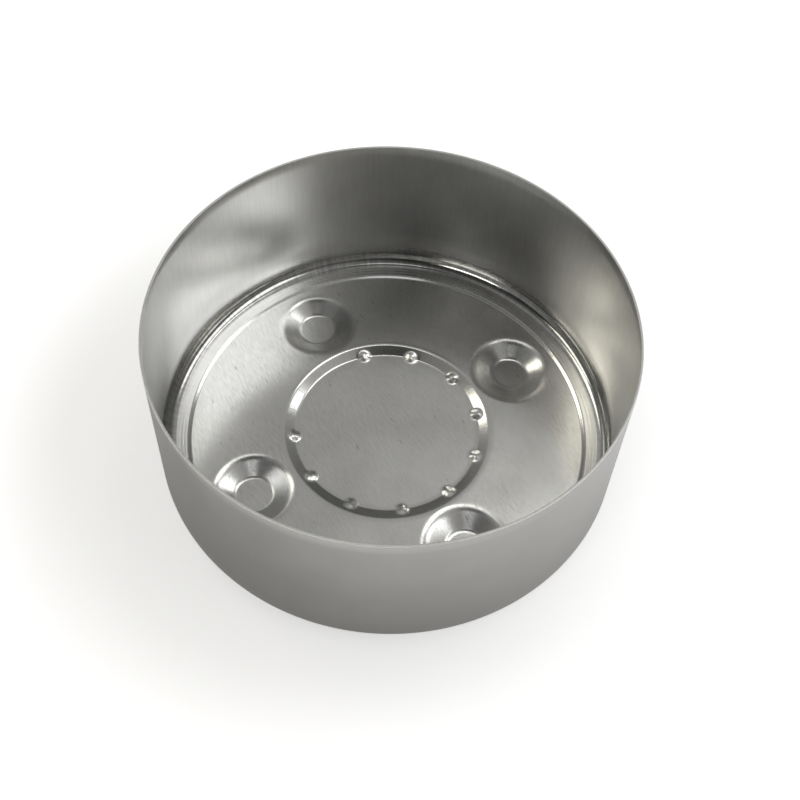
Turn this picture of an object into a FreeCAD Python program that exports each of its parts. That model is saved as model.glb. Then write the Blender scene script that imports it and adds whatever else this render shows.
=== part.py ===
"""Deep drawn sheet-metal cup with four foot dimples and a recessed centre.

One piece of constant-gauge sheet: a straight cylindrical wall with a plain
trimmed rim, a rounded bottom corner, a narrow corner ring with a small step
down to the flat floor, a shallow round recess in the middle of the floor with
an open ring of raised pips at the foot of its slope, and four pressed dimples
whose flat undersides are the cup's feet.

All lengths are in millimetres and all angles in degrees. The origin is on the
cup's axis, in the plane of the four feet, with +Z towards the open mouth.
"""
import FreeCAD, Part
import math
import os

# Driving dimensions of the shell, on its outside face.
CUP_DIAMETER = 100.0
CUP_HEIGHT = 39.0           # underside of the corner ring to the trimmed rim
SHEET_GAUGE = 0.5           # the same thickness everywhere
CORNER_RADIUS = 3.4

# Step from the corner ring down to the flat floor, coined with sharp edges.
CORNER_RING_WIDTH = 2.0     # flat land between the bottom corner and the step
FLOOR_STEP_DEPTH = 0.4
FLOOR_STEP_RUN = 0.8

# Dimples, pressed down from the floor to make the feet.
DIMPLE_COUNT = 4
DIMPLE_FIRST_ANGLE = 45.0
DIMPLE_EDGE_RADIUS = 8.7
DIMPLE_DEPTH = 1.9
DIMPLE_SLOPE_RUN = 4.5
DIMPLE_BEND = 2.4           # inside bend radius at both edges of the slope
DIMPLE_LAND = 0.2           # flat ring kept round each dimple's upper bend
DIMPLE_TO_STEP = 1.9        # floor between a dimple's edge and the floor step

# Shallow round recess in the middle of the floor.
RECESS_TO_DIMPLE = 1.1      # floor between the recess edge and a dimple's edge
RECESS_DEPTH = 0.9
RECESS_SLOPE_RUN = 3.0
RECESS_BEND = 2.5           # inside bend radius at both edges of the slope

# Pips, pressed up at the foot of the recess slope. The ring stays open where
# the count times the pitch falls short of a full turn.
PIP_COUNT = 10
PIP_FIRST_ANGLE = -159.0
PIP_PITCH_ANGLE = 31.0
PIP_BASE_RADIUS = 1.6       # on the inside face, at the level of the recess
PIP_HEIGHT = 0.5

# Radii that follow from these, inwards from the wall: each form keeps its named
# distance from the one outside it.
WALL_RADIUS = CUP_DIAMETER / 2.0
STEP_EDGE_RADIUS = WALL_RADIUS - CORNER_RADIUS - CORNER_RING_WIDTH
STEP_FOOT_RADIUS = STEP_EDGE_RADIUS - FLOOR_STEP_RUN
DIMPLE_PITCH_RADIUS = STEP_FOOT_RADIUS - DIMPLE_TO_STEP - DIMPLE_EDGE_RADIUS
RECESS_EDGE_RADIUS = DIMPLE_PITCH_RADIUS - DIMPLE_EDGE_RADIUS - RECESS_TO_DIMPLE
RECESS_FOOT_RADIUS = RECESS_EDGE_RADIUS - RECESS_SLOPE_RUN

# Levels of the outside face, counted up from the plane of the feet.
FLOOR_LEVEL = DIMPLE_DEPTH
RECESS_LEVEL = FLOOR_LEVEL - RECESS_DEPTH
RING_LEVEL = FLOOR_LEVEL + FLOOR_STEP_DEPTH
RIM_LEVEL = RING_LEVEL + CUP_HEIGHT

OVERRUN = 1.0               # how far a form runs on into the space it joins
SHARP = None                # in place of a bend radius: the corner stays sharp

AXIS_POINT = FreeCAD.Vector(0, 0, 0)
AXIS = FreeCAD.Vector(0, 0, 1)


def direction(start, end):
    """Unit vector from start to end, both given as (radius, height)."""
    length = math.dist(start, end)
    return ((end[0] - start[0]) / length, (end[1] - start[1]) / length)


def on_section(point):
    """A (radius, height) point as a vector in the XZ plane."""
    return FreeCAD.Vector(point[0], 0.0, point[1])


def line(start, end):
    """Straight edge of the section."""
    return Part.LineSegment(on_section(start), on_section(end)).toShape()


def parallel(corners, distance):
    """Run of lines shifted by distance to its left, with mitred corners."""
    shifted = []
    for index, corner in enumerate(corners):
        into = direction(corners[max(index - 1, 0)], corners[max(index, 1)])
        last = len(corners) - 1
        out = direction(corners[min(index, last - 1)], corners[min(index + 1, last)])
        mitre = distance / (1.0 + into[0] * out[0] + into[1] * out[1])
        shifted.append((corner[0] - mitre * (into[1] + out[1]),
                        corner[1] + mitre * (into[0] + out[0])))
    return shifted


def bend_radius(before, corner, after, inside, distance):
    """Radius of one bend on the face that lies distance to the left.

    A bend to the left has its centre on the left, so its radius shrinks from
    the outer face to the inner one, and that of a bend to the right grows.
    """
    into = direction(before, corner)
    out = direction(corner, after)
    to_the_left = into[0] * out[1] - into[1] * out[0] > 0.0
    return inside + SHEET_GAUGE - distance if to_the_left else inside + distance


def rounded_run(corners, radii):
    """Edges of a run of lines, with a tangent arc at each corner that has a radius."""
    edges = []
    start = corners[0]
    for before, corner, after, radius in zip(corners, corners[1:], corners[2:], radii):
        if radius is SHARP:
            edges.append(line(start, corner))
            start = corner
            continue
        into = direction(before, corner)
        out = direction(corner, after)
        half_turn = math.acos(into[0] * out[0] + into[1] * out[1]) / 2.0
        reach = radius * math.tan(half_turn)
        sagitta = radius / math.cos(half_turn) - radius
        inward = direction(into, out)
        arc_start = (corner[0] - reach * into[0], corner[1] - reach * into[1])
        arc_middle = (corner[0] + sagitta * inward[0], corner[1] + sagitta * inward[1])
        arc_end = (corner[0] + reach * out[0], corner[1] + reach * out[1])
        edges.append(line(start, arc_start))
        edges.append(Part.Arc(on_section(arc_start), on_section(arc_middle),
                              on_section(arc_end)).toShape())
        start = arc_end
    edges.append(line(start, corners[-1]))
    return edges


def turned_form(corners, bends, distance, top_level):
    """Solid of revolution above one face of the sheet, up to top_level.

    corners runs outwards from the axis along the outer face, bends holds the
    inside radius at each corner between two lines, or SHARP, and distance
    picks the face: 0 for the outer one, the gauge for the inner one.
    """
    radii = [SHARP if inside is SHARP else bend_radius(*trio, inside, distance)
             for *trio, inside in zip(corners, corners[1:], corners[2:], bends)]
    face_run = parallel(corners, distance)
    end = face_run[-1]
    edges = rounded_run(face_run, radii)
    edges.append(line(end, (end[0], top_level)))
    edges.append(line((end[0], top_level), (0.0, top_level)))
    edges.append(line((0.0, top_level), face_run[0]))
    return Part.Face(Part.Wire(edges)).revolve(AXIS_POINT, AXIS, 360.0)


def shell_form(distance, top_level):
    """Solid inside the shell's face at distance, without dimples and pips."""
    corners = [(0.0, RECESS_LEVEL),
               (RECESS_FOOT_RADIUS, RECESS_LEVEL),
               (RECESS_EDGE_RADIUS, FLOOR_LEVEL),
               (STEP_FOOT_RADIUS, FLOOR_LEVEL),
               (STEP_EDGE_RADIUS, RING_LEVEL),
               (WALL_RADIUS, RING_LEVEL),
               (WALL_RADIUS, RING_LEVEL + 2.0 * CORNER_RADIUS)]
    bends = [RECESS_BEND, RECESS_BEND, SHARP, SHARP, CORNER_RADIUS - SHEET_GAUGE]
    return turned_form(corners, bends, distance, top_level)


def dimple_form(distance):
    """Solid inside one dimple's face at distance, standing on the cup's axis."""
    half_turn = math.atan2(DIMPLE_DEPTH, DIMPLE_SLOPE_RUN) / 2.0
    bend_reach = (DIMPLE_BEND + SHEET_GAUGE) * math.tan(half_turn)
    foot_level = FLOOR_LEVEL - DIMPLE_DEPTH
    corners = [(0.0, foot_level),
               (DIMPLE_EDGE_RADIUS - DIMPLE_SLOPE_RUN, foot_level),
               (DIMPLE_EDGE_RADIUS, FLOOR_LEVEL),
               (DIMPLE_EDGE_RADIUS + bend_reach + DIMPLE_LAND, FLOOR_LEVEL)]
    return turned_form(corners, [DIMPLE_BEND, DIMPLE_BEND], distance,
                       FLOOR_LEVEL + SHEET_GAUGE + OVERRUN)


def pip_form(distance):
    """Ball whose cap is one pip's face at distance, on the cup's axis."""
    ball_radius = (PIP_BASE_RADIUS ** 2 + PIP_HEIGHT ** 2) / (2.0 * PIP_HEIGHT)
    ball = Part.makeSphere(ball_radius - SHEET_GAUGE + distance)
    # The ball's poles and seam are turned away from the cap at its top.
    ball.rotate(AXIS_POINT, FreeCAD.Vector(1, 0, 0), 90.0)
    cap_level = RECESS_LEVEL + SHEET_GAUGE + PIP_HEIGHT
    ball.translate(FreeCAD.Vector(0, 0, cap_level - ball_radius))
    return ball


def ring_of(form, count, pitch_radius, first_angle, pitch_angle):
    """Copies of a form, evenly turned round the cup's axis."""
    copies = []
    for index in range(count):
        copy = form.copy()
        copy.translate(FreeCAD.Vector(pitch_radius, 0, 0))
        copy.rotate(AXIS_POINT, AXIS, first_angle + index * pitch_angle)
        copies.append(copy)
    return copies


def face_form(distance, top_level):
    """Solid inside the cup's whole face at distance, with dimples and pips."""
    dimples = ring_of(dimple_form(distance), DIMPLE_COUNT, DIMPLE_PITCH_RADIUS,
                      DIMPLE_FIRST_ANGLE, 360.0 / DIMPLE_COUNT)
    pips = ring_of(pip_form(distance), PIP_COUNT, RECESS_FOOT_RADIUS,
                   PIP_FIRST_ANGLE, PIP_PITCH_ANGLE)
    return shell_form(distance, top_level).fuse(dimples).cut(pips)


def drawn_cup():
    """The cup: what lies inside its outer face but not inside its inner one."""
    blank = face_form(0.0, RIM_LEVEL)
    hollow = face_form(SHEET_GAUGE, RIM_LEVEL + OVERRUN)
    return blank.cut(hollow).removeSplitter()


def main():
    """Build the cup and write it out."""
    os.makedirs("parts", exist_ok=True)
    cup = drawn_cup()
    if not cup.isValid() or len(cup.Solids) != 1:
        raise ValueError("the cup is not one valid solid")
    cup.Solids[0].exportStep("parts/drawn_cup.step")
    print("drawn_cup: volume %.2f mm3, %d faces" % (cup.Volume, len(cup.Faces)))


main()
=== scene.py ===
"""Looks of the deep drawn aluminium cup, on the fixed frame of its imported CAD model.

The cup is one piece of bare satin aluminium sheet, so it is one surface here:
a grid of rings that runs from the middle of the floor over the recess, the
dimples, the step and the corner, up the wall, over the trimmed rim, down the
outside and back to the middle of the underside.

Lengths in the size classes are millimetres, and the meshes are in metres. The
origin is on the cup's axis in the plane of its four feet, with +Z upwards.
"""

import logging
import math
from dataclasses import dataclass
from enum import Enum
from functools import reduce

import bpy
import numpy as np
from mathutils import Matrix, Vector


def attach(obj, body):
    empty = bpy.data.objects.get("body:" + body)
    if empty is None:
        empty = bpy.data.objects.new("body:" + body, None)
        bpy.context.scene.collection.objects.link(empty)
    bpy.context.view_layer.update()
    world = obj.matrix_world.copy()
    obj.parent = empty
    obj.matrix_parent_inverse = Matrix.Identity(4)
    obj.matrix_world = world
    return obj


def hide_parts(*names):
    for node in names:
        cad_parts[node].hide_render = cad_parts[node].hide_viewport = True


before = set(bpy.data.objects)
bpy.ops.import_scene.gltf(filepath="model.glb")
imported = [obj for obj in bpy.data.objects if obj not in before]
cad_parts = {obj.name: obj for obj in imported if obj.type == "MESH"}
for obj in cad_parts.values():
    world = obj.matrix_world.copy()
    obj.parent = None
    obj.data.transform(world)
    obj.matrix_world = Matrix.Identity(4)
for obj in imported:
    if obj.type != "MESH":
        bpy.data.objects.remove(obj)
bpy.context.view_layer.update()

MM = 0.001
MICRON = 1e-6
UV_PER_MM = 0.01
WHITE = (1.0, 1.0, 1.0, 1.0)
LOG = logging.getLogger("drawn_cup")

Array = np.ndarray
Socket = bpy.types.NodeSocket


# ---------------- the sheet

class Face(Enum):
    """The two faces of the sheet, by their distance from the outer one in gauges."""

    OUTSIDE = 0.0
    INSIDE = 1.0


def put_in_scene(name: str, data: bpy.types.ID) -> bpy.types.Object:
    """A new object that holds the data, linked to the scene."""
    made = bpy.data.objects.new(name, data)
    bpy.context.scene.collection.objects.link(made)
    return made


@dataclass(frozen=True)
class BentRun:
    """A run of straight lines with a tangent arc at each corner between them."""

    corners: Array      # (n, 2) radius and level of the line's corners
    radii: Array        # bend radius at each of the n - 2 inner corners

    def polyline(self, arc_steps: int = 48) -> Array:
        """Points along the run.

        Each bend is an arc whose centre is found from the two unit directions
        that meet there, stepped evenly in angle from tangent to tangent.

        Args:
            arc_steps: number of steps in each bend.

        Returns:
            (m, 2) array of radius and level, in order along the run.
        """
        legs = np.diff(self.corners, axis=0)
        ways = legs / np.linalg.norm(legs, axis=1)[:, None]
        into, out = ways[:-1], ways[1:]
        turn = np.arctan2(into[:, 0] * out[:, 1] - into[:, 1] * out[:, 0],
                          (into * out).sum(axis=1))
        reach = self.radii * np.tan(np.abs(turn) / 2.0)
        start = self.corners[1:-1] - into * reach[:, None]
        left = np.stack([-into[:, 1], into[:, 0]], axis=1) * np.sign(turn)[:, None]
        centre = start + left * self.radii[:, None]
        step = np.linspace(0.0, 1.0, arc_steps + 1)[None, :] * turn[:, None]
        cos, sin = np.cos(step)[..., None], np.sin(step)[..., None]
        spoke = (start - centre)[:, None, :]
        across = np.stack([-spoke[..., 1], spoke[..., 0]], axis=-1)
        arcs = centre[:, None, :] + spoke * cos + across * sin
        return np.concatenate([self.corners[:1], arcs.reshape(-1, 2),
                               self.corners[-1:]])


def parallel_run(corners: Array, distance: float) -> Array:
    """Run of lines shifted by a distance to its left, with mitred corners.

    Each corner moves along the sum of the two left-hand normals that meet
    there, divided by one plus the cosine of the turn.

    Args:
        corners: (n, 2) corners of the run.
        distance: how far to shift it.

    Returns:
        (n, 2) shifted corners.
    """
    legs = np.diff(corners, axis=0)
    ways = legs / np.linalg.norm(legs, axis=1)[:, None]
    normals = np.stack([-ways[:, 1], ways[:, 0]], axis=1)
    before = np.concatenate([normals[:1], normals])
    after = np.concatenate([normals, normals[-1:]])
    cosine = (before * after).sum(axis=1)
    return corners + distance * (before + after) / (1.0 + cosine)[:, None]


def cosine_wave(away: Array) -> Array:
    """Half a cosine wave: 1 at 0, falling smoothly to 0 at 1 and beyond."""
    return 0.5 + 0.5 * np.cos(math.pi * np.clip(away, 0.0, 1.0))


def ramp(value: Array, start: float, width: float) -> Array:
    """0 up to the start, rising evenly to 1 over the width."""
    return np.clip((value - start) / width, 0.0, 1.0)


def band(value: Array, low: float, high: float, soft: float) -> Array:
    """1 between low and high, falling to 0 over the soft width at each side."""
    return np.minimum(ramp(value, low - soft, soft), 1.0 - ramp(value, high, soft))


@dataclass(frozen=True)
class CupSizes:
    """Sizes of the drawn cup, in millimetres and degrees."""

    diameter: float = 100.0         # outside the wall
    height: float = 39.0            # from under the corner ring to the rim
    gauge: float = 0.5
    corner_radius: float = 3.4      # on the outside
    ring_width: float = 2.0         # flat land between the corner and the step
    step_depth: float = 0.4         # from that ring down to the floor
    step_run: float = 0.8
    step_bend: float = 0.25         # inside bend radius at its edges
    recess_edge: float = 23.2       # radius of its upper edge
    recess_depth: float = 0.9
    recess_run: float = 2.5         # width of its slope
    recess_bend: float = 1.2        # inside bend radius at the slope's edges
    dimple_count: int = 4
    dimple_first: float = 45.0      # azimuth of the first one
    dimple_pitch: float = 33.2      # distance of their axes from the cup's
    dimple_edge: float = 8.7        # radius of a dimple's upper edge
    dimple_depth: float = 1.9
    dimple_run: float = 4.5         # width of its slope
    dimple_bends: tuple = (2.2, 5.0)    # inside, at its bottom and at its edge
    pip_count: int = 10
    pip_first: float = -159.0       # azimuth of the first one
    pip_step: float = 31.0          # angle from one to the next
    pip_base: float = 1.8           # radius of a pip
    pip_height: float = 0.42
    rim_break: float = 0.09         # radius of the rim's broken edges
    tool_line_radii: tuple = (45.25, 46.0)
    tool_line_width: float = 0.36   # over which a line fades to its side
    tool_line_depth: float = 0.025
    tool_line_top: float = 1.0      # no line is cut higher over the ring's land

    @property
    def floor_level(self) -> float:
        """Outside level of the flat floor."""
        return self.dimple_depth

    @property
    def recess_level(self) -> float:
        """Outside level of the recess."""
        return self.floor_level - self.recess_depth

    @property
    def ring_level(self) -> float:
        """Outside level of the corner ring."""
        return self.floor_level + self.step_depth

    @property
    def rim_level(self) -> float:
        """Level of the trimmed rim."""
        return self.ring_level + self.height

    @property
    def wall_radius(self) -> float:
        """Outside radius of the wall."""
        return self.diameter / 2.0

    @property
    def floor_edge(self) -> float:
        """Radius at which the bottom corner begins."""
        return self.wall_radius - self.corner_radius

    @property
    def wall_foot(self) -> float:
        """Level at which the straight wall begins."""
        return self.ring_level + self.corner_radius

    def offset(self, face: Face) -> float:
        """Distance of a face from the outer one."""
        return face.value * self.gauge

    def bent(self, corners: Array, bends: Array, face: Face) -> BentRun:
        """One face of a folded run, from its outer corners and inside bends.

        A bend to the left has its centre on the left, so its radius shrinks by
        the gauge from the outer face to the inner one; a bend to the right
        grows by it.

        Args:
            corners: (n, 2) corners on the outer face.
            bends: n - 2 inside bend radii.
            face: which face is wanted.

        Returns:
            The run of that face.
        """
        legs = np.diff(corners, axis=0)
        cross = legs[:-1, 0] * legs[1:, 1] - legs[:-1, 1] * legs[1:, 0]
        shift = self.offset(face)
        radii = np.where(cross > 0.0, bends + self.gauge - shift, bends + shift)
        return BentRun(parallel_run(corners, shift), radii)

    def shell_run(self, face: Face) -> BentRun:
        """Section of the cup without dimples and pips, from the axis to the rim."""
        step_edge = self.floor_edge - self.ring_width
        corners = np.array([
            (0.0, self.recess_level),
            (self.recess_edge - self.recess_run, self.recess_level),
            (self.recess_edge, self.floor_level),
            (step_edge - self.step_run, self.floor_level),
            (step_edge, self.ring_level),
            (self.wall_radius, self.ring_level),
            (self.wall_radius, self.rim_level)])
        bends = np.array([self.recess_bend, self.recess_bend, self.step_bend,
                          self.step_bend, self.corner_radius - self.gauge])
        return self.bent(corners, bends, face)

    def dimple_run_of(self, face: Face) -> BentRun:
        """Section of one dimple from its own axis out onto the floor."""
        foot = self.floor_level - self.dimple_depth
        corners = np.array([
            (0.0, foot), (self.dimple_edge - self.dimple_run, foot),
            (self.dimple_edge, self.floor_level),
            (self.dimple_edge * 2.0, self.floor_level)])
        return self.bent(corners, np.array(self.dimple_bends), face)


@dataclass(frozen=True)
class RingSpacing:
    """How close the grid's rings and azimuth lines lie, in millimetres."""

    azimuths: int = 400     # lines round the cup
    gather: float = 0.35    # how far they are drawn together at the dimples, 0 to 1
    radii: tuple = (0.0, 16.5, 17.8, 23.6, 24.6, 42.0, 42.8, 43.2, 45.2)
    # Spacing of the floor's rings at those radii, on the inside and underneath.
    inside: tuple = (1.9, 1.2, 0.20, 0.20, 0.36, 0.36, 0.25, 0.12, 0.12)
    outside: tuple = (3.0, 1.8, 0.42, 0.42, 0.80, 0.80, 0.50, 0.26, 0.26)
    corner: float = 0.40    # along the corner's arc
    wall: int = 12          # rings up each face of the wall
    rim: int = 2            # steps in each broken edge of the rim
    steps: int = 4000       # in which the table of spacings is summed


@dataclass(frozen=True)
class SheetPatch:
    """One stretch of the grid, on one face of the sheet."""

    radius: Array       # of each ring
    level: Array        # of each ring, before dimples and pips are pressed
    face: Face


@dataclass(frozen=True)
class Spots:
    """Points of one plain face, before dimples and pips are pressed into it."""

    x: Array
    y: Array
    level: Array
    face: Face

    @property
    def radius(self) -> Array:
        """Distance of each point from the cup's axis."""
        return np.hypot(self.x, self.y)

    def distance(self, places: Array) -> Array:
        """Distance of each point from the nearest of some (n, 2) places."""
        gap = np.hypot(self.x[..., None] - places[:, 0],
                       self.y[..., None] - places[:, 1])
        return gap.min(axis=-1)


class PressedFloor:
    """Levels of the dimples and pips, as functions of a point of the floor."""

    def __init__(self, sizes: CupSizes) -> None:
        """Keeps the sizes and works out where each dimple and pip stands."""
        self.sizes = sizes
        turn = np.arange(sizes.dimple_count) * 360.0 / sizes.dimple_count
        self.dimples = self._places(sizes.dimple_first + turn, sizes.dimple_pitch)
        turn = np.arange(sizes.pip_count) * sizes.pip_step
        self.pips = self._places(sizes.pip_first + turn,
                                 sizes.recess_edge - sizes.recess_run)

    @staticmethod
    def _places(degrees: Array, pitch: float) -> Array:
        """Points on a pitch circle: (n, 2) positions."""
        angle = np.radians(degrees)
        return pitch * np.stack([np.cos(angle), np.sin(angle)], axis=1)

    def level(self, spots: Spots) -> Array:
        """Level of the face once dimples and pips are pressed into it.

        A dimple lowers the floor by its own section, read at the distance from
        its axis. A pip raises it by one wave of a cosine, from its greatest
        height on the pip's axis to nothing at its base.

        Args:
            spots: points of the plain face.

        Returns:
            The pressed level at each point.
        """
        sizes = self.sizes
        section = sizes.dimple_run_of(spots.face).polyline()
        flat = sizes.floor_level + sizes.offset(spots.face)
        drop = np.interp(spots.distance(self.dimples), *section.T)
        level = spots.level + np.minimum(drop - flat, 0.0)
        away = spots.distance(self.pips) / sizes.pip_base
        pressed = level + sizes.pip_height * cosine_wave(away)
        if spots.face is Face.INSIDE:
            pressed = pressed - self.tool_lines(spots)
        return pressed

    def tool_lines(self, spots: Spots) -> Array:
        """Depth of the turned lines that the punch left on the corner ring.

        Each line is a groove of half a cosine wave to each side. They are on
        the ring's land only, so a point of the wall above has none.

        Args:
            spots: points of the plain face.

        Returns:
            The depth at each point.
        """
        sizes = self.sizes
        away = np.abs(spots.radius[..., None] - np.array(sizes.tool_line_radii))
        wave = cosine_wave(away / sizes.tool_line_width).max(axis=-1)
        top = sizes.ring_level + sizes.gauge + sizes.tool_line_top
        return np.where(spots.level < top, sizes.tool_line_depth * wave, 0.0)


@dataclass(frozen=True)
class ToolMarks:
    """Where the tools changed the sheet's skin, and where shade is painted in the
    corner, in millimetres and degrees.
    """

    wall_start: float = 0.9         # the wall's skin begins, below the corner's top
    wall_soft: float = 1.2          # height over which it takes over
    drag_start: float = 0.1         # the band of painted shade and drag streaks begins, inwards of the corner
    shaded_band_soft: float = 0.7          # width over which its painted shade darkens
    painted_shade_azimuth: float = 140.0     # where the painted shade is darkest
    corner_start: float = 0.5       # the burnish begins, inwards of the step's foot
    corner_soft: float = 0.4        # width over which it grows
    slope_reach: float = 0.4        # of the recess slope's burnish past its edges
    slope_soft: float = 0.8         # width of its soft sides
    dimple_reach: tuple = (0.6, 0.4)    # the same at a dimple's bottom and edge
    dimple_soft: float = 0.9
    dimple_burnish: float = 0.1     # how far a dimple is burnished, 0 to 1
    pip_start: float = 0.7          # the burnish begins at a pip, in pip radii
    pip_soft: float = 0.5           # width over which it grows


class DrawnCup:
    """The whole cup as one closed surface of constant gauge."""

    def __init__(self, sizes: CupSizes, spacing: RingSpacing, tools: ToolMarks) -> None:
        """Keeps the sizes, the grid's spacing and the tools' marks."""
        self.sizes = sizes
        self.spacing = spacing
        self.tools = tools
        self.floor = PressedFloor(sizes)

    def azimuths(self) -> Array:
        """Azimuth of each line of the grid, the first one repeated at the end.

        Even steps, less a sine that has one wave to each dimple, so that the
        lines lie closer where the dimples are.
        """
        sizes = self.sizes
        even = np.linspace(0.0, 2.0 * math.pi, self.spacing.azimuths + 1)
        waves = sizes.dimple_count
        phase = waves * (even - math.radians(sizes.dimple_first))
        return even - self.spacing.gather * np.sin(phase) / waves

    def _floor_patch(self, face: Face, spacings: tuple) -> SheetPatch:
        """Rings of one face from near the axis to the start of the corner.

        The number of rings up to a radius is the sum of radius steps over the
        wanted spacing; whole numbers of it give the rings.

        Args:
            face: which face it is.
            spacings: spacing at each of the spacing table's radii.

        Returns:
            The rings.
        """
        fine = np.linspace(0.0, self.sizes.floor_edge, self.spacing.steps + 1)
        want = np.interp(fine, self.spacing.radii, spacings)
        count = np.concatenate([[0.0], np.cumsum(np.diff(fine) / want[1:])])
        rings = int(round(count[-1]))
        radius = np.interp(np.linspace(0.0, count[-1], rings + 1)[1:], count, fine)
        section = self.sizes.shell_run(face).polyline()
        return SheetPatch(radius, np.interp(radius, *section.T), face)

    def _corner_patch(self, face: Face) -> SheetPatch:
        """Rings of one face round the bottom corner, a quarter circle."""
        sizes = self.sizes
        bend = sizes.corner_radius - sizes.offset(face)
        steps = int(round(bend * math.pi / 2.0 / self.spacing.corner))
        angle = np.linspace(0.0, math.pi / 2.0, steps + 1)[1:]
        return SheetPatch(sizes.floor_edge + bend * np.sin(angle),
                          sizes.wall_foot - bend * np.cos(angle), face)

    def _wall_patch(self, face: Face) -> SheetPatch:
        """Rings of one face up the straight wall, to below the rim's edge."""
        sizes = self.sizes
        top = sizes.rim_level - sizes.rim_break
        level = np.linspace(sizes.wall_foot, top, self.spacing.wall + 1)[1:]
        radius = np.full_like(level, sizes.wall_radius - sizes.offset(face))
        return SheetPatch(radius, level, face)

    def _rim_patch(self) -> SheetPatch:
        """Rings over the trimmed rim, from the inside edge to the outside one.

        Both edges are broken by a quarter circle of the same small radius.
        """
        sizes = self.sizes
        small = sizes.rim_break
        angle = np.linspace(0.0, math.pi / 2.0, self.spacing.rim + 1)
        low = sizes.rim_level - small
        inner = sizes.wall_radius - sizes.gauge + small
        outer = sizes.wall_radius - small
        radius = np.concatenate([inner - small * np.cos(angle[1:]),
                                 outer + small * np.sin(angle[:-1])])
        level = np.concatenate([low + small * np.sin(angle[1:]),
                                low + small * np.cos(angle[:-1])])
        return SheetPatch(radius, level, Face.INSIDE)

    def patches(self) -> list[SheetPatch]:
        """Stretches of the grid in order, from the inside middle to the outside one."""
        inside, outside = (
            [self._floor_patch(face, spacings), self._corner_patch(face),
             self._wall_patch(face)]
            for face, spacings in ((Face.INSIDE, self.spacing.inside),
                                   (Face.OUTSIDE, self.spacing.outside)))
        turned = [SheetPatch(patch.radius[::-1], patch.level[::-1], patch.face)
                  for patch in reversed(outside)]
        return [*inside, self._rim_patch(), *turned]

    def grid(self) -> tuple[Array, dict[str, Array]]:
        """Positions of the grid and what the finish needs to know of each point.

        A point is the ring's radius turned by the azimuth, at the ring's level
        with the dimples and pips pressed in.

        Returns:
            (rings, azimuths, 3) positions in millimetres, and for each
            attribute name a (rings, azimuths) array.
        """
        turn = self.azimuths()[:-1]
        rows, marks = [], {}
        for patch in self.patches():
            x = patch.radius[:, None] * np.cos(turn)
            y = patch.radius[:, None] * np.sin(turn)
            level = np.broadcast_to(patch.level[:, None], x.shape)
            spots = Spots(x, y, level, patch.face)
            rows.append(np.stack([x, y, self.floor.level(spots)], axis=-1))
            for mark, share in self._shares(spots).items():
                marks.setdefault(mark, []).append(share)
        return np.concatenate(rows), {
            mark: np.concatenate(shares) for mark, shares in marks.items()}

    def _shares(self, spots: Spots) -> dict[str, Array]:
        """What the finish needs to know of each point, as shares from 0 to 1."""
        inner = spots.face.value
        return {"wall": self._wall_share(spots), "formed": self._formed_share(spots),
                "inner": np.full(spots.x.shape, inner),
                "drag_and_painted_shade": self._drag_and_shade_share(spots) * inner}

    def _wall_share(self, spots: Spots) -> Array:
        """1 on the drawn wall, 0 on the floor, changing over the corner's top."""
        return ramp(spots.level, self.sizes.wall_foot - self.tools.wall_start,
                    self.tools.wall_soft)

    def _drag_and_shade_share(self, spots: Spots) -> Array:
        """How far the corner is darkened, 0 to 1: painted shade in the crease, where
        the punch's drag streaks also lie.

        The band begins at the corner's foot and ends at the wall. Round the cup it
        follows one wave of a cosine, from the azimuth where the painted shade is
        darkest to nothing across from it.

        Args:
            spots: points of the plain face.

        Returns:
            The share at each point.
        """
        tools = self.tools
        turn = np.arctan2(spots.y, spots.x) - math.radians(tools.painted_shade_azimuth)
        side = 0.5 + 0.5 * np.cos(turn)
        rise = ramp(spots.radius, self.sizes.floor_edge - tools.drag_start,
                    tools.shaded_band_soft)
        return side * rise * (1.0 - self._wall_share(spots))

    def _formed_share(self, spots: Spots) -> Array:
        """1 where the tools burnished the sheet, 0 where it kept its rolled skin.

        The burnished places are the corner with its step and the recess slope
        between the pips, and the dimples' slopes are burnished less. Each is a
        band in the distance from an axis, with soft sides.

        Args:
            spots: points of the plain face.

        Returns:
            The share at each point.
        """
        sizes, tools = self.sizes, self.tools
        step_foot = sizes.floor_edge - sizes.ring_width - sizes.step_run
        corner = ramp(spots.radius, step_foot - tools.corner_start, tools.corner_soft)
        slope = band(spots.radius,
                     sizes.recess_edge - sizes.recess_run - tools.slope_reach,
                     sizes.recess_edge + tools.slope_reach, tools.slope_soft)
        off_pips = ramp(spots.distance(self.floor.pips) / sizes.pip_base,
                        tools.pip_start, tools.pip_soft)
        low, high = tools.dimple_reach
        dimple = band(spots.distance(self.floor.dimples),
                      sizes.dimple_edge - sizes.dimple_run - low,
                      sizes.dimple_edge + high, tools.dimple_soft)
        return np.maximum.reduce([corner * (1.0 - self._wall_share(spots)),
                                  slope * off_pips, dimple * tools.dimple_burnish])

    def build(self, name: str) -> bpy.types.Object:
        """Makes the mesh object, with its attributes and its UV map.

        Neighbouring rings are joined by quads, and a point on the axis closes
        each end with a fan.

        Args:
            name: the object's name.

        Returns:
            The object, linked to the scene.
        """
        grid, marks = self.grid()
        rings, lines = grid.shape[:2]
        poles = [(0.0, 0.0, row[:, 2].mean()) for row in (grid[0], grid[-1])]
        points = np.concatenate([grid.reshape(-1, 3), poles]) * MM
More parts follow.
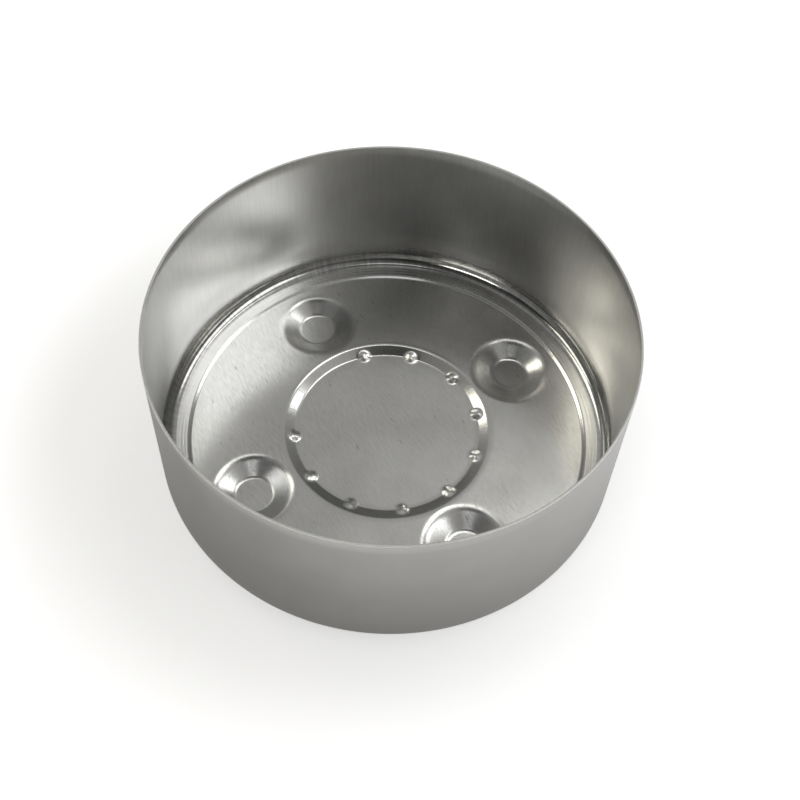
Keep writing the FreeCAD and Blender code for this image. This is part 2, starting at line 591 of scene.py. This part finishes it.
        # Ring and line of each face's corners: the quads, then the two fans.
        ring, line = np.broadcast_arrays(
            np.arange(rings - 1)[:, None, None] + (1, 1, 0, 0),
            np.arange(lines)[:, None] + (0, 1, 1, 0))
        quads = (ring * lines + line % lines).reshape(-1, 4)
        top = np.arange(lines)[:, None] + (0, 0, 1)
        end = np.arange(lines)[:, None] + (0, 1, 0)
        fans = np.concatenate([top % lines, end % lines + (rings - 1) * lines])
        fans[:lines, 0], fans[lines:, 0] = rings * lines, rings * lines + 1
        line = np.concatenate([part.reshape(-1) for part in (line, top, end)])
        ring = np.concatenate([ring.reshape(-1), np.repeat([0, rings - 1], 3 * lines)])
        mesh = bpy.data.meshes.new(name)
        mesh.from_pydata(points.tolist(), [], quads.tolist() + fans.tolist())
        for mark, values in marks.items():
            layer = mesh.attributes.new(mark, "FLOAT", "POINT")
            flat = np.concatenate([values.reshape(-1), [values[0, 0], values[-1, 0]]])
            layer.data.foreach_set("value", flat.astype(np.float32))
        self._unwrap(mesh, grid, ring, line)
        mesh.polygons.foreach_set("use_smooth", np.ones(len(mesh.polygons), bool))
        mesh.update()
        return put_in_scene(name, mesh)

    def _unwrap(self, mesh: bpy.types.Mesh, grid: Array, ring: Array,
                line: Array) -> None:
        """Lays the UV map: turns round the axis, and distance along the section.

        Args:
            mesh: the mesh to give the map to.
            grid: the grid's positions, in millimetres.
            ring: ring of each corner of each face.
            line: azimuth line of each, one more than the last where it closes.
        """
        run = np.hypot(grid[:, 0, 0], grid[:, 0, 1])
        step = np.hypot(np.diff(run), np.diff(grid[:, 0, 2]))
        along = np.concatenate([[run[0]], run[0] + np.cumsum(step)])
        turns = self.azimuths() / (2.0 * math.pi)
        uv = np.stack([turns[line], along[ring] * UV_PER_MM], axis=1)
        layer = mesh.uv_layers.new(name="section")
        layer.data.foreach_set("uv", uv.astype(np.float32).reshape(-1))

    def dress(self, cup: bpy.types.Object, finish: "BareAluminium") -> None:
        """Gives the cup its finish and ties it to the CAD frame."""
        cup.data.materials.append(finish.material("bare_aluminium"))
        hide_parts("drawn_cup")
        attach(cup, "root")


# ---------------- the finish

class NodeBench:
    """Short ways to add and join shader nodes."""

    def __init__(self, tree: bpy.types.NodeTree) -> None:
        """Keeps the tree that nodes go into."""
        self.tree = tree

    def add(self, kind: str, **settings: object) -> bpy.types.Node:
        """A new node of a kind, with its settings."""
        node = self.tree.nodes.new(kind)
        for name, value in settings.items():
            setattr(node, name, value)
        return node

    def feed(self, socket: Socket, value: object) -> None:
        """Links a socket to an output, or sets its value."""
        if isinstance(value, Socket):
            self.tree.links.new(value, socket)
        else:
            socket.default_value = value

    def fed(self, kind: str, values: dict, **settings: object) -> bpy.types.Node:
        """A new node with its inputs fed.

        Args:
            kind: the node's kind.
            values: what feeds each input, by its name or number.
            settings: the node's settings.

        Returns:
            The node.
        """
        node = self.add(kind, **settings)
        for key, value in values.items():
            self.feed(node.inputs[key], value)
        return node

    def math(self, operation: str, *values: object) -> Socket:
        """Result of a math node."""
        return self.fed("ShaderNodeMath", dict(enumerate(values)),
                        operation=operation).outputs[0]

    def total(self, *values: object) -> Socket:
        """Sum of some values."""
        return reduce(lambda one, other: self.math("ADD", one, other), values)

    def times(self, *values: object) -> Socket:
        """Product of some values."""
        return reduce(lambda one, other: self.math("MULTIPLY", one, other), values)

    def mix(self, share: object, first: object, second: object) -> Socket:
        """Number between first and second by share."""
        return self.fed("ShaderNodeMix", {0: share, 2: first, 3: second},
                        data_type="FLOAT").outputs[0]

    def mix_colour(self, share: object, first: object, second: object) -> Socket:
        """Colour between first and second by share."""
        return self.fed("ShaderNodeMix", {0: share, 6: first, 7: second},
                        data_type="RGBA").outputs[2]

    def vector(self, operation: str, *values: object) -> Socket:
        """Result of a vector math node."""
        return self.fed("ShaderNodeVectorMath", dict(enumerate(values)),
                        operation=operation).outputs["Vector"]

    def scaled(self, vector: object, factor: object) -> Socket:
        """Vector or colour times a number."""
        return self.fed("ShaderNodeVectorMath", {0: vector, "Scale": factor},
                        operation="SCALE").outputs["Vector"]

    def measure(self, operation: str, *values: object) -> Socket:
        """Number that a vector math node finds, such as a length."""
        return self.fed("ShaderNodeVectorMath", dict(enumerate(values)),
                        operation=operation).outputs["Value"]

    def split(self, vector: Socket, part: int) -> Socket:
        """One part of a vector, 0 to 2."""
        return self.fed("ShaderNodeSeparateXYZ", {0: vector}).outputs[part]

    def join(self, *parts: object) -> Socket:
        """A vector from its three parts."""
        return self.fed("ShaderNodeCombineXYZ", dict(enumerate(parts))).outputs[0]

    def attribute(self, name: str) -> Socket:
        """Value of one of the piece's own attributes."""
        return self.add("ShaderNodeAttribute", attribute_name=name).outputs["Fac"]

    def turned(self, source: Socket, degrees: float, size: tuple) -> Socket:
        """Coordinates turned about Z, in units of a size along each axis."""
        spin = self.fed("ShaderNodeVectorRotate",
                        {"Vector": source, "Angle": math.radians(degrees)},
                        rotation_type="Z_AXIS")
        return self.vector("MULTIPLY", spin.outputs[0],
                           tuple(1.0 / length for length in size))

    def noise(self, place: Socket, detail: float = 1.0,
              roughness: float = 0.5) -> Socket:
        """Noise value, 0 to 1, one lump to each unit of its coordinates."""
        return self.fed("ShaderNodeTexNoise",
                        {"Vector": place, "Scale": 1.0, "Detail": detail,
                         "Roughness": roughness}, noise_dimensions="3D").outputs["Fac"]

    def window(self, value: object, low: float, high: float, to_low: float = 0.0,
               to_high: float = 1.0, **settings: object) -> Socket:
        """Value carried from one range to another, held at its ends."""
        ends = {"Value": value, "From Min": low, "From Max": high,
                "To Min": to_low, "To Max": to_high}
        return self.fed("ShaderNodeMapRange", ends, **settings).outputs[0]


@dataclass(frozen=True)
class BareAluminium:
    """Bare rolled and drawn aluminium: satin, with rolling grain and draw marks.

    Lengths are in millimetres and reliefs in thousandths of one. A size is a
    length, a width and a depth, and a noise is its detail and roughness. A tone
    or a rough is four numbers: the part of a pattern's range that counts, and
    what it adds to the colour's strength or the roughness at the two ends.
    """

    inside_colour: tuple = (0.80, 0.80, 0.79, 1.0)
    outside_colour_with_painted_shade: tuple = (0.37, 0.365, 0.355, 1.0)   # darkened: painted shade for the dim floor it reflects
    edge_colour: tuple = (0.90, 0.90, 0.89, 1.0)        # of the trimmed rim
    brightest: tuple = (0.97, 0.97, 0.97)
    floor_roughness: float = 0.19
    wall_roughness: float = 0.305
    outside_roughness: float = 0.36
    formed_roughness: float = 0.12
    edge_roughness: float = 0.5
    rim_band: tuple = (41.2, 41.24)     # levels between which the bare edge begins
    scuff_band: tuple = (30.0, 40.0)    # and the wall's scuffs
    grain_azimuth: float = 133.0        # the rolling direction
    hair_turn: float = 4.0              # how far the hairlines are turned from it
    grain_size: tuple = (2.4, 0.22, 0.22)
    hair_size: tuple = (9.0, 0.45, 2.0)
    fleck_size: tuple = (3.2, 0.8, 2.0)
    draw_size: tuple = (9.0, 0.5)       # height and width of a mark on the wall
    draw_radius: float = 48.0           # from the axis, where it has that width
    line_width: float = 0.4             # of the lines that run round the cup
    stain_size: float = 16.0
    fine_noise: tuple = (3.0, 0.6)      # of the grain and the draw marks
    stain_noise: tuple = (3.0, 0.55)
    grain_tone: tuple = (0.32, 0.68, -0.14, 0.10)
    hair_tone: tuple = (0.76, 0.80, 0.0, 0.09)
    fleck_tone: tuple = (0.74, 0.79, 0.0, -0.35)
    draw_tone: tuple = (0.35, 0.65, -0.04, 0.03)
    # painted shade in the corner band, with the punch's drag streaks in it
    drag_and_shade_tone: tuple = (0.35, 0.65, -0.38, -0.16)
    stain_tone: tuple = (0.3, 0.7, -0.05, 0.05)
    outside_draw: float = 0.3           # share of the draw tone on the outside
    grain_rough: tuple = (0.3, 0.7, 0.05, -0.04)
    line_rough: tuple = (0.3, 0.7, -0.006, 0.006)
    stain_rough: tuple = (0.3, 0.7, -0.02, 0.03)
    scuff_cloud: tuple = (0.5, 0.6)     # part of the stains where scuffs are
    scuff_rough: tuple = (0.60, 0.72, 0.0, 0.10)
    grain_relief: float = 6.0
    draw_relief: tuple = (6.0, 1.2)     # in the corner and on the wall
    line_relief: float = 0.6
    stain_relief: float = 12.0          # the floor's slow unevenness

    def material(self, name: str) -> bpy.types.Material:
        """Builds the material.

        Args:
            name: the material's name.

        Returns:
            The material, with its nodes joined.
        """
        material = bpy.data.materials.new(name)
        material.use_nodes = True
        shader = material.node_tree.nodes["Principled BSDF"]
        shader.inputs["Metallic"].default_value = 1.0
        bench = NodeBench(material.node_tree)
        marks = self._marks(bench)
        bench.feed(shader.inputs["Base Color"], self._colour(bench, marks))
        bench.feed(shader.inputs["Roughness"], self._roughness(bench, marks))
        bench.feed(shader.inputs["Normal"], self._bump(bench, marks))
        return material

    def _marks(self, bench: NodeBench) -> dict[str, Socket]:
        """The patterns and shares that colour, roughness and bump use.

        Rolling grain, hairlines and flecks are noise drawn out along the
        rolling direction. Draw marks are noise of the direction from the axis,
        so they stand upright on the wall and run outwards in the corner. Lines
        round the cup are noise of the radius and the level alone.

        Args:
            bench: where the nodes go.

        Returns:
            The patterns, 0 to 1; the shares of wall, formed, inner,
            drag_and_painted_shade (the corner's painted shade), rim and scuffed; the
            share of the rolled skin as flat, and of what the tools touched as drawn.
        """
        place = bench.add("ShaderNodeTexCoord").outputs["Object"]
        spot = bench.scaled(place, 1.0 / MM)
        level = bench.split(spot, 2)
        across = bench.vector("MULTIPLY", spot, (1.0, 1.0, 0.0))
        tall, wide = self.draw_size
        count = self.draw_radius / wide
        draw = bench.vector(
            "ADD", bench.vector("MULTIPLY", bench.vector("NORMALIZE", across),
                                (count, count, 0.0)),
            bench.vector("MULTIPLY", spot, (0.0, 0.0, 1.0 / tall)))
        lines = bench.scaled(bench.join(bench.measure("LENGTH", across), level, 0.0),
                             1.0 / self.line_width)
        rolled = -self.grain_azimuth
        marks = {
            "grain": bench.noise(bench.turned(spot, rolled, self.grain_size),
                                 *self.fine_noise),
            "hair": bench.noise(bench.turned(spot, rolled + self.hair_turn,
                                             self.hair_size)),
            "fleck": bench.noise(bench.turned(spot, rolled, self.fleck_size)),
            "draw": bench.noise(draw, *self.fine_noise),
            "lines": bench.noise(lines),
            "stain": bench.noise(bench.scaled(spot, 1.0 / self.stain_size),
                                 *self.stain_noise),
            "rim": bench.window(level, *self.rim_band),
            "scuffed": bench.window(level, *self.scuff_band),
        }
        for name in ("wall", "formed", "inner", "drag_and_painted_shade"):
            marks[name] = bench.attribute(name)
        off_wall, plain = (bench.math("SUBTRACT", 1.0, marks[name])
                           for name in ("wall", "formed"))
        marks["flat"] = bench.times(off_wall, plain)
        marks["drawn"] = bench.math("MAXIMUM", marks["wall"], marks["formed"])
        return marks

    def _colour(self, bench: NodeBench, marks: dict) -> Socket:
        """The metal's colour by face, with painted shade on the outside and in the
        corner, and with grain, stains, flecks and hairlines.

        Args:
            bench: where the nodes go.
            marks: the shared patterns.

        Returns:
            The colour.
        """
        # The outside's colour is darkened as painted shade, standing for the dim floor
        # it reflects.
        metal = bench.mix_colour(marks["inner"], self.outside_colour_with_painted_shade,
                                 self.inside_colour)
        metal = bench.mix_colour(marks["rim"], metal, self.edge_colour)
        on_floor = bench.times(marks["flat"], bench.total(
            bench.window(marks["grain"], *self.grain_tone),
            bench.window(marks["hair"], *self.hair_tone),
            bench.window(marks["fleck"], *self.fleck_tone)))
        on_wall = bench.times(bench.window(marks["draw"], *self.draw_tone),
                              bench.mix(marks["inner"], self.outside_draw, 1.0),
                              marks["drawn"])
        # Painted shade in the corner band, darkest at one azimuth, with drag streaks
        # from the draw noise.
        dark = bench.times(marks["drag_and_painted_shade"],
                           bench.window(marks["draw"], *self.drag_and_shade_tone))
        stain = bench.window(marks["stain"], *self.stain_tone)
        tone = bench.total(on_floor, stain, dark, on_wall, 1.0)
        return bench.vector("MINIMUM", bench.scaled(metal, tone), self.brightest)

    def _roughness(self, bench: NodeBench, marks: dict) -> Socket:
        """Roughness by zone, with what grain, lines, stains and scuffs add.

        Args:
            bench: where the nodes go.
            marks: the shared patterns.

        Returns:
            The roughness.
        """
        zone = bench.mix(marks["wall"], self.floor_roughness, self.wall_roughness)
        zone = bench.mix(marks["inner"], self.outside_roughness, zone)
        zone = bench.mix(marks["formed"], zone, self.formed_roughness)
        zone = bench.mix(marks["rim"], zone, self.edge_roughness)
        grain = bench.times(marks["flat"],
                            bench.window(marks["grain"], *self.grain_rough))
        scuff = bench.times(marks["scuffed"],
                            bench.window(marks["stain"], *self.scuff_cloud),
                            bench.window(marks["draw"], *self.scuff_rough),
                            marks["wall"])
        return bench.total(zone, grain, bench.window(marks["lines"], *self.line_rough),
                           bench.window(marks["stain"], *self.stain_rough), scuff)

    def _bump(self, bench: NodeBench, marks: dict) -> Socket:
        """Fine relief: grain, draw marks, lines round the cup, slow unevenness.

        The grain is on the rolled skin, the draw marks are on the wall and in
        the corner, and the slow unevenness is off the wall.

        Args:
            bench: where the nodes go.
            marks: the shared patterns.

        Returns:
            The bumped normal.
        """
        height = bench.total(
            bench.times(marks["grain"], self.grain_relief, marks["flat"]),
            bench.times(marks["draw"], bench.mix(marks["wall"], *self.draw_relief),
                        marks["drawn"]),
            bench.times(marks["lines"], self.line_relief),
            bench.times(marks["stain"],
                        bench.mix(marks["wall"], self.stain_relief, 0.0)))
        return bench.fed("ShaderNodeBump",
                         {"Distance": MICRON, "Height": height}).outputs[0]


# ---------------- the studio

def heading(azimuth: float, elevation: float) -> Vector:
    """Unit vector at an azimuth from the X axis and an elevation, in degrees."""
    turn, up = math.radians(azimuth), math.radians(elevation)
    return Vector((math.cos(turn) * math.cos(up), math.sin(turn) * math.cos(up),
                   math.sin(up)))


@dataclass(frozen=True)
class ProductCamera:
    """The camera, by its place over the rim and the way it is turned, in degrees."""

    azimuth: float          # from the X axis
    elevation: float        # above the rim's plane
    distance: float         # from the middle of the rim, in millimetres
    aside: tuple            # yaw, pitch and roll away from that middle
    reach: float            # focal length over the picture's width
    shift: tuple            # of the picture, across and up, in widths
    sensor: float = 36.0    # width in millimetres
    near: float = 0.01      # nearest distance seen, in metres

    def build(self, rim_level: float) -> None:
        """Makes the camera and sets it as the scene's.

        The camera's axes are those of a straight look at the rim's middle,
        turned by yaw, then pitch, then roll.

        Args:
            rim_level: level of the rim in metres.
        """
        away = np.array(heading(self.azimuth, self.elevation))
        forward = -away
        right = np.array(heading(self.azimuth + 90.0, 0.0))
        above = np.cross(right, forward)
        axes = np.array([right, above, forward])
        for angle, axis in zip(self.aside, "YXZ"):
            axes = np.array(Matrix.Rotation(math.radians(angle), 3, axis)) @ axes
        data = bpy.data.cameras.new("camera")
        data.sensor_width = self.sensor
        data.lens = self.reach * self.sensor
        data.shift_x, data.shift_y = self.shift
        data.clip_start = self.near
        camera = put_in_scene("camera", data)
        place = Matrix((axes.T * (1.0, 1.0, -1.0)).tolist()).to_4x4()
        place.translation = Vector(away * self.distance * MM) + Vector(
            (0.0, 0.0, rim_level))
        camera.matrix_world = place
        bpy.context.scene.camera = camera


@dataclass(frozen=True)
class SoftLamp:
    """A rectangular soft lamp that faces the cup. Angles are in degrees."""

    azimuth: float          # from the X axis
    elevation: float        # above the floor
    spread: tuple           # across and up, seen from the cup
    glow: float             # of its face, where a white paper is 1
    colour: tuple = (1.0, 1.0, 1.0)
    distance: float = 2.0   # from the cup, in metres

    def build(self, name: str) -> None:
        """Makes the lamp, turned to face the cup."""
        data = bpy.data.lights.new(name, "AREA")
        data.shape = "RECTANGLE"
        data.size, data.size_y = (
            2.0 * self.distance * math.tan(math.radians(angle / 2.0))
            for angle in self.spread)
        data.color = self.colour
        # A lamp of one square metre needs pi watts for a glow of one.
        data.energy = self.glow * data.size * data.size_y * math.pi
        lamp = put_in_scene(name, data)
        away = heading(self.azimuth, self.elevation)
        lamp.location = away * self.distance
        lamp.rotation_mode = "QUATERNION"
        lamp.rotation_quaternion = away.to_track_quat("Z", "Y")
        lamp.visible_camera = False


@dataclass(frozen=True)
class Studio:
    """Pale floor, the room's own soft light and the lamps. Lengths are metres.

    A height in the room is the sine of its elevation.
    """

    floor_colour: tuple = (0.9, 0.9, 0.9, 1.0)
    floor_radius: float = 3.0
    floor_sides: int = 96
    glow_with_painted_shadow: tuple = (0.16, 0.80)    # dimmed near the cup as a painted shadow, and far from it; 1 is white
    painted_shadow_reach: tuple = (0.054, 0.098)     # distances over which the painted shadow fades out
    painted_shadow_aside: tuple = (0.015, 0.001, 0.0)    # from the painted shadow's middle to the axis, so it lies more to one side
    painted_shadow_lift: float = 0.62            # share of the painted shadow filled, seen straight
    room_colour: tuple = (1.0, 0.99, 0.955, 1.0)
    room_light: float = 0.32
    shade_toward: tuple = (-118.0, 20.0)    # azimuth and elevation of the dark side
    shade_band: tuple = (0.2, 0.8)      # cosines from it between which it darkens
    shade_depth: float = 0.86           # how much darker it is there
    overhead_band: tuple = (0.975, 0.99)    # heights between which it darkens
    overhead_depth: float = 0.8
    low_band: tuple = (0.55, 0.77)      # heights between which the low part ends
    low_share: float = 0.45             # of the light, left in that part
    horizon_band: tuple = (0.05, 0.22)  # heights between which its white ends
    lamps: tuple = ()

    def build(self) -> None:
        """Makes the floor, the room light and the lamps."""
        self._floor()
        self._room()
        for number, lamp in enumerate(self.lamps, 1):
            lamp.build(f"soft_lamp_{number}")
        LOG.info("studio: floor, room light, %d lamps", len(self.lamps))

    @staticmethod
    def _seen(bench: NodeBench) -> tuple:
        """1 for what is seen straight, and 1 for what is seen in any way.

        Args:
            bench: where the nodes go.

        Returns:
            Whether it is seen straight; and whether it is seen straight, in a
            reflection or through glass.
        """
        ray = bench.add("ShaderNodeLightPath").outputs
        sight = ray["Is Camera Ray"]
        seen = bench.math("MAXIMUM", sight, ray["Is Glossy Ray"])
        return sight, bench.math("MAXIMUM", seen, ray["Is Transmission Ray"])

    def _floor(self) -> None:
        """Round pale paper floor in the plane of the cup's feet, with its shadow.

        Where it is seen it also glows, more with the distance from the cup, so that the
        glow leaves a painted shadow round the cup, off to one side.
        """
        turn = np.linspace(0.0, 2.0 * math.pi, self.floor_sides + 1)[:-1]
        points = np.stack([np.cos(turn), np.sin(turn), 0.0 * turn],
                          axis=1) * self.floor_radius
        mesh = bpy.data.meshes.new("floor")
        mesh.from_pydata(points.tolist(), [], [list(range(self.floor_sides))])
        floor = put_in_scene("floor", mesh)
        material = bpy.data.materials.new("pale_floor")
        material.use_nodes = True
        bench = NodeBench(material.node_tree)
        shader = material.node_tree.nodes["Principled BSDF"]
        shader.inputs["Base Color"].default_value = self.floor_colour
        shader.inputs["Roughness"].default_value = 1.0
        shader.inputs["Specular IOR Level"].default_value = 0.0
        shader.inputs["Emission Color"].default_value = WHITE
        place = bench.add("ShaderNodeTexCoord").outputs["Object"]
        # The glow is dimmed near the cup and to one side of it: a painted shadow.
        away = bench.measure("LENGTH", bench.vector("ADD", place, self.painted_shadow_aside))
        glow = bench.window(away, *self.painted_shadow_reach, *self.glow_with_painted_shadow,
                            interpolation_type="SMOOTHSTEP")
        sight, seen = self._seen(bench)
        glow = bench.mix(bench.times(sight, self.painted_shadow_lift), glow, self.glow_with_painted_shadow[1])
        bench.feed(shader.inputs["Emission Strength"], bench.times(glow, seen))
        # The glow is only looked at; sampling it as a lamp would add noise.
        material.cycles.emission_sampling = "NONE"
        mesh.materials.append(material)

    def _room(self) -> None:
        """Soft light from all round, darker on one side, overhead and low down.

        It darkens with the cosine of the angle from the darker side's middle.
        Seen straight it is white all round, and in a reflection only towards
        the horizon, like the floor's far edge.
        """
        world = bpy.data.worlds.new("room")
        bpy.context.scene.world = world
        world.use_nodes = True
        bench = NodeBench(world.node_tree)
        background = world.node_tree.nodes["Background"]
        way = bench.add("ShaderNodeTexCoord").outputs["Generated"]
        upward = bench.split(way, 2)
        cosine = bench.measure("DOT_PRODUCT", way, heading(*self.shade_toward))
        level = bench.times(
            bench.window(cosine, *self.shade_band, self.room_light,
                         self.room_light * (1.0 - self.shade_depth)),
            bench.window(upward, *self.overhead_band, 1.0, 1.0 - self.overhead_depth),
            bench.window(upward, *self.low_band, self.low_share, 1.0))
        low = bench.window(upward, *self.horizon_band, 1.0, 0.0)
        sight, seen = self._seen(bench)
        white = bench.math("MAXIMUM", sight, bench.times(low, seen))
        bench.feed(background.inputs["Strength"], bench.mix(white, level, 1.0))
        bench.feed(background.inputs["Color"],
                   bench.mix_colour(low, self.room_colour, WHITE))


CAMERA = ProductCamera(azimuth=-77.05, elevation=51.78, distance=236.7,
                       aside=(1.07, 0.92, -2.47), reach=1.483,
                       shift=(0.0375, -0.125))

# Each by its azimuth, elevation, spread, glow and colour.
LAMPS = (
    SoftLamp(14.0, 52.0, (52.0, 17.0), 1.6),
    SoftLamp(158.0, 50.0, (15.0, 15.0), 1.9, (1.0, 0.96, 0.82)),
    SoftLamp(185.0, 37.0, (22.0, 14.0), 1.5, (1.0, 0.96, 0.84)),
    SoftLamp(68.0, 67.0, (16.0, 13.0), 1.9, (1.0, 0.99, 0.94)),
    SoftLamp(103.0, 76.0, (16.0, 8.0), 0.9, (1.0, 0.99, 0.95)),
    SoftLamp(-77.0, 77.0, (14.0, 9.0), 0.5),
    SoftLamp(30.0, 10.0, (18.0, 10.0), 1.3, (0.85, 0.9, 1.0)),
    SoftLamp(-113.0, 22.0, (23.0, 20.0), 3.2, (1.0, 0.98, 0.9)),
)


def main() -> None:
    """Builds the cup, the studio and the camera."""
    logging.basicConfig(level=logging.INFO, format="%(name)s: %(message)s")
    sizes = CupSizes()
    maker = DrawnCup(sizes, RingSpacing(), ToolMarks())
    cup = maker.build("cup_shell")
    maker.dress(cup, BareAluminium())
    LOG.info("cup_shell: %d points, %d faces", len(cup.data.vertices),
             len(cup.data.polygons))
    Studio(lamps=LAMPS).build()
    CAMERA.build(sizes.rim_level * MM)
    bpy.context.scene.view_settings.view_transform = "Standard"


if __name__ == "__main__":
    main()
